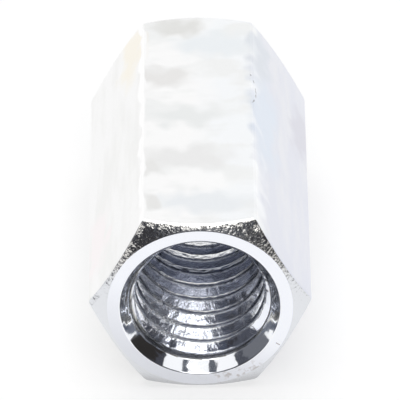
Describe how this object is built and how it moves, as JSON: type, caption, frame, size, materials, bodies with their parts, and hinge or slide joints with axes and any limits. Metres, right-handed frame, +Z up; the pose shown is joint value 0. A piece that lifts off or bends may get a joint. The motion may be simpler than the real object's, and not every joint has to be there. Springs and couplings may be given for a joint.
{
  "type": "coupling nut",
  "caption": "Long hexagon coupling nut with a right-hand threaded through bore, countersunk at both ends, and chamfered corners.",
  "frame": {"origin": "middle of the bore, half way between the two end faces", "axes": "+Y along the bore, from the front end to the back end; +Z up, square to the upper and lower flats; +X toward the right-hand long edge"},
  "size_m": [0.0144, 0.0254, 0.0126],
  "materials": {
    "zinc_plated_steel": "bright zinc plating over drawn hexagon steel bar, turned ends, tapped bore"
  },
  "bodies": {
    "root": {"coupling_nut": "zinc_plated_steel"}
  },
  "joints": []
}
